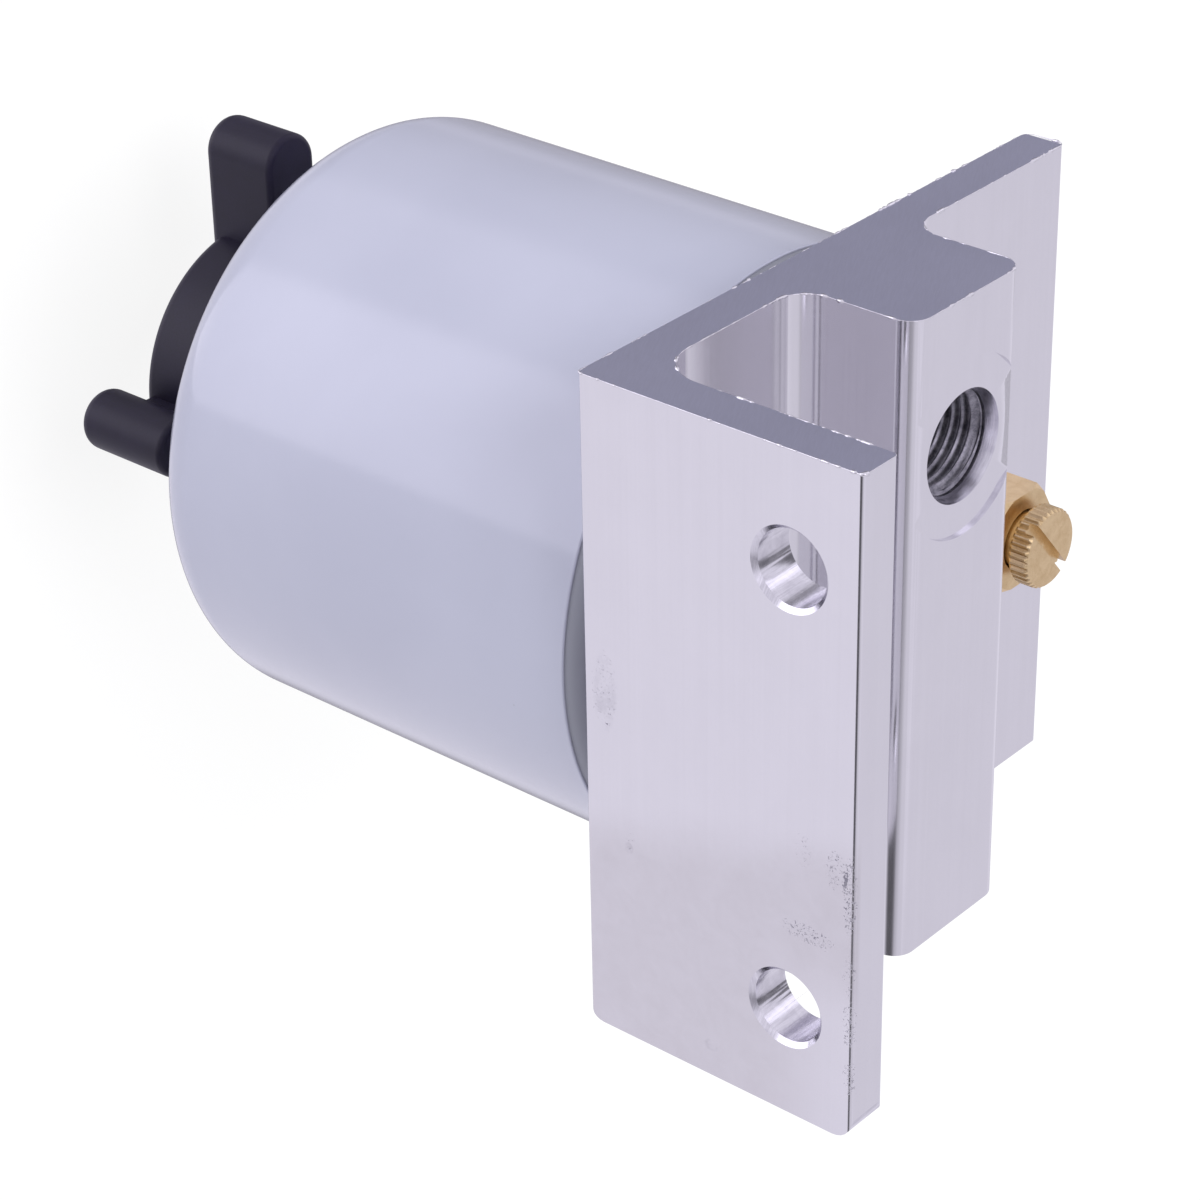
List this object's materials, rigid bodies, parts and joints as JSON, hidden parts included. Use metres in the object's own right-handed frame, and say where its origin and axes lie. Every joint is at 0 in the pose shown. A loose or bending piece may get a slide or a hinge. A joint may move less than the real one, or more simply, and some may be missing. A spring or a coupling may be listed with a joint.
{
  "type": "fuel filter with mounting head",
  "caption": "Spin-on fuel filter and water separator on an extruded aluminium mounting head, with threaded ports, an air bleed screw and a winged drain knob.",
  "frame": {"origin": "midway between the two bolt holes, on the outer face of the head's flange", "axes": "+X out of the flange's outer face, +Z from the canister up to the head along the canister's axis, Y along the head's extrusion"},
  "size_m": [0.0825, 0.083, 0.1328],
  "materials": {
    "head_aluminium": "bright drawn",
    "plated_steel": "zinc plated",
    "brass": "turned",
    "seal_rubber": "matte",
    "canister_paint": "gloss paint",
    "filter_paper": "resin paper",
    "black_plastic": "satin moulded"
  },
  "bodies": {
    "head": {"mounting_head": "head_aluminium", "filter_nipple": "plated_steel", "bleed_body": "brass", "bleed_washer": "seal_rubber"},
    "gasket_ride": {"canister_gasket": "seal_rubber"},
    "canister": {"gasket_retainer": "plated_steel", "tapping_plate": "plated_steel", "canister_shell": "canister_paint", "element_upper_cap": "plated_steel", "element_grommet": "seal_rubber", "element_centre_tube": "plated_steel", "pleated_media": "filter_paper", "element_lower_cap": "plated_steel", "element_spring": "plated_steel", "drain_bush": "plated_steel"},
    "drain_ring_ride": {"drain_o_ring": "seal_rubber"},
    "drain_valve": {"drain_knob": "black_plastic"},
    "bleed_ring_ride": {"bleed_o_ring": "seal_rubber"},
    "bleed_valve": {"bleed_screw": "brass"}
  },
  "joints": [
    {"name": "canister_drop", "type": "slide", "parent": "head", "child": "gasket_ride", "axis": [0, 0, -1], "range_m": [0, 0.009]},
    {"name": "canister_turn", "type": "hinge", "parent": "gasket_ride", "child": "canister", "pos_m": [-0.04125, 0, -0.06], "axis": [0, 0, -1], "range_deg": [0, 2170]},
    {"name": "drain_drop", "type": "slide", "parent": "canister", "child": "drain_ring_ride", "axis": [0, 0, -1], "range_m": [0, 0.004]},
    {"name": "drain_turn", "type": "hinge", "parent": "drain_ring_ride", "child": "drain_valve", "pos_m": [-0.04125, 0, -0.115], "axis": [0, 0, -1], "range_deg": [0, 724]},
    {"name": "bleed_rise", "type": "slide", "parent": "head", "child": "bleed_ring_ride", "axis": [0, 0, 1], "range_m": [0, 0.002]},
    {"name": "bleed_turn", "type": "hinge", "parent": "bleed_ring_ride", "child": "bleed_valve", "pos_m": [-0.06225, 0, -0.015], "axis": [0, 0, 1], "range_deg": [0, 724]}
  ],
  "couplings": [
    {"joint": "canister_turn", "follows": "canister_drop", "rad_per_m": 4188.8},
    {"joint": "drain_turn", "follows": "drain_drop", "rad_per_m": 3141.6},
    {"joint": "bleed_turn", "follows": "bleed_rise", "rad_per_m": 6283.2}
  ]
}
